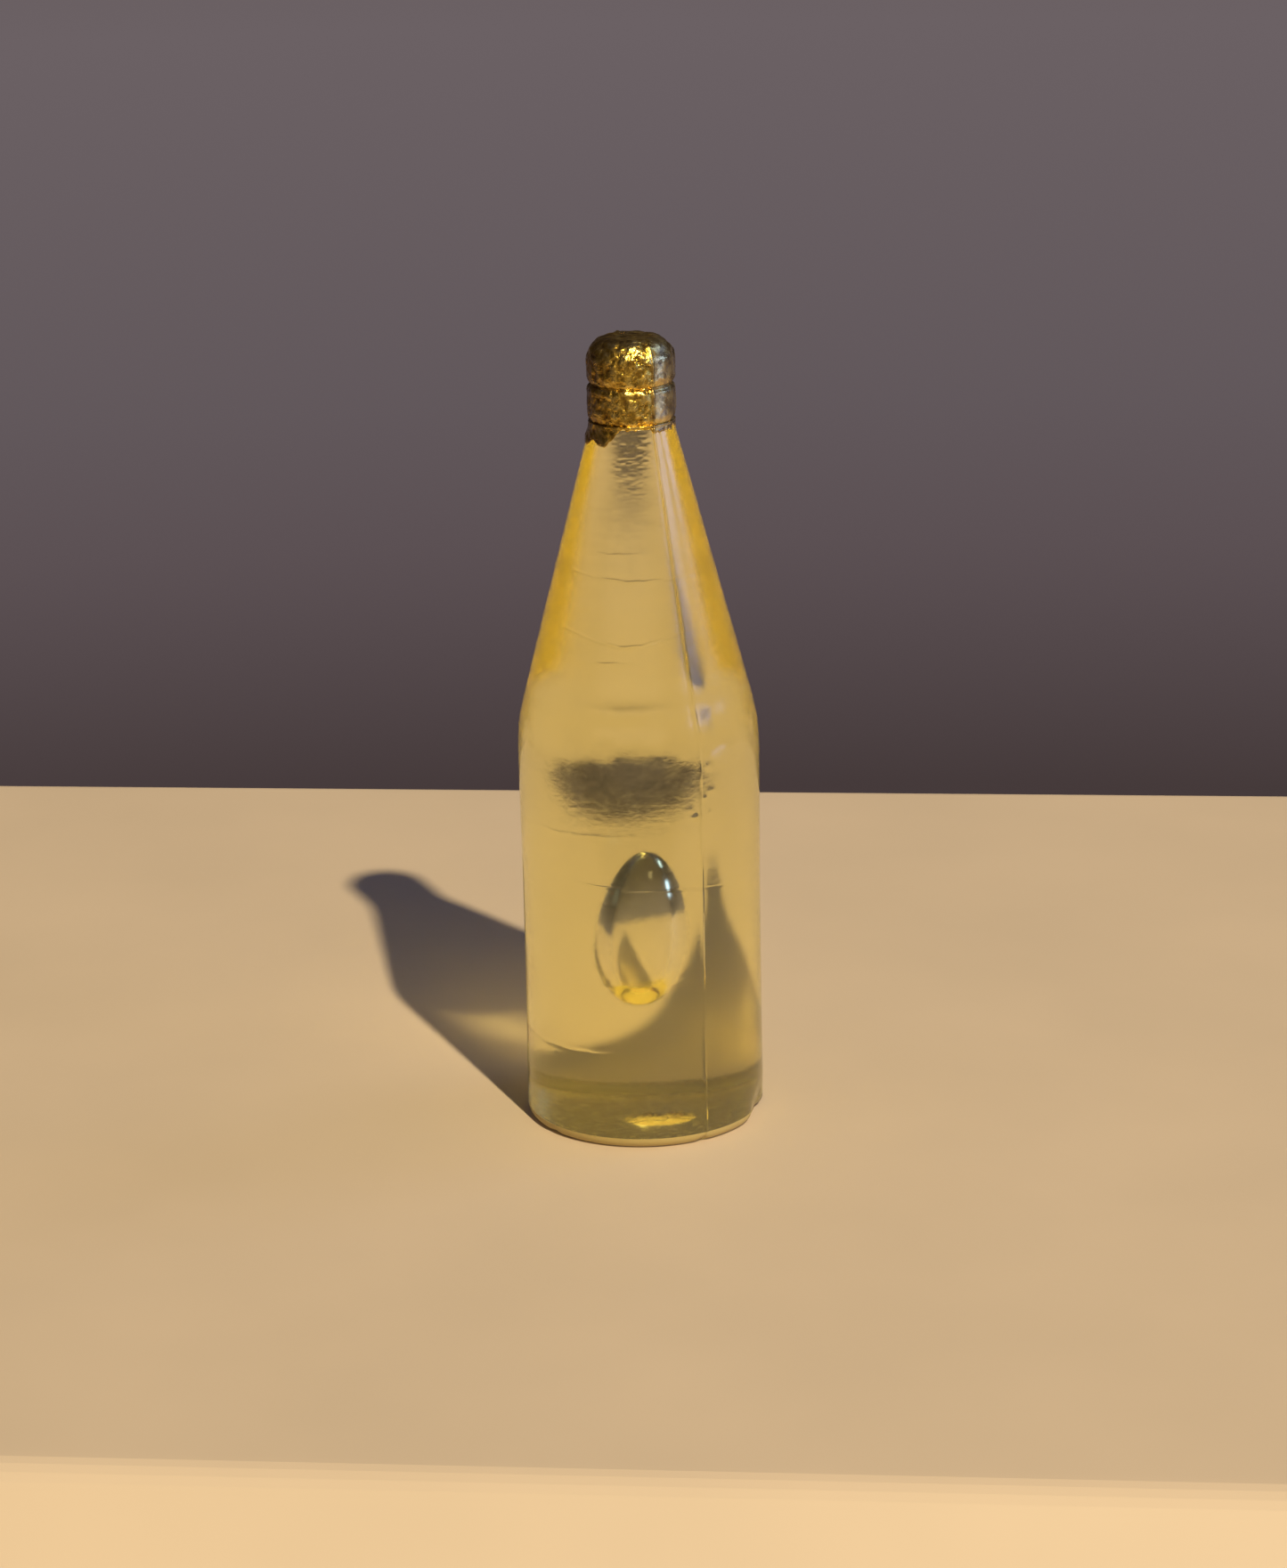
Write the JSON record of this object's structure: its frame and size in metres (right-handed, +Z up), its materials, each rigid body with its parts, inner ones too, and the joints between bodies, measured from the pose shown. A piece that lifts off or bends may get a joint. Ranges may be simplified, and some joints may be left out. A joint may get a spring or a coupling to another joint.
{
  "type": "miniature bottle",
  "caption": "Solid clear amber miniature bottle: straight barrel, tall conical shoulder, beaded crown under gold paint, and a sealed egg-shaped void.",
  "frame": {"origin": "centre of the base, on the plane that it stands on", "axes": "+Z up the bottle's axis; the front faces -Y, and the parting line is to the right of it"},
  "size_m": [0.012, 0.012, 0.04],
  "materials": {
    "clear_amber": "clear amber moulded plastic, glossy with fine scuffs",
    "gold_paint": "thick brushed-on metallic gold paint, grainy and uneven"
  },
  "bodies": {
    "root": {"bottle_body": "clear_amber", "gold_film": "gold_paint"}
  },
  "joints": []
}
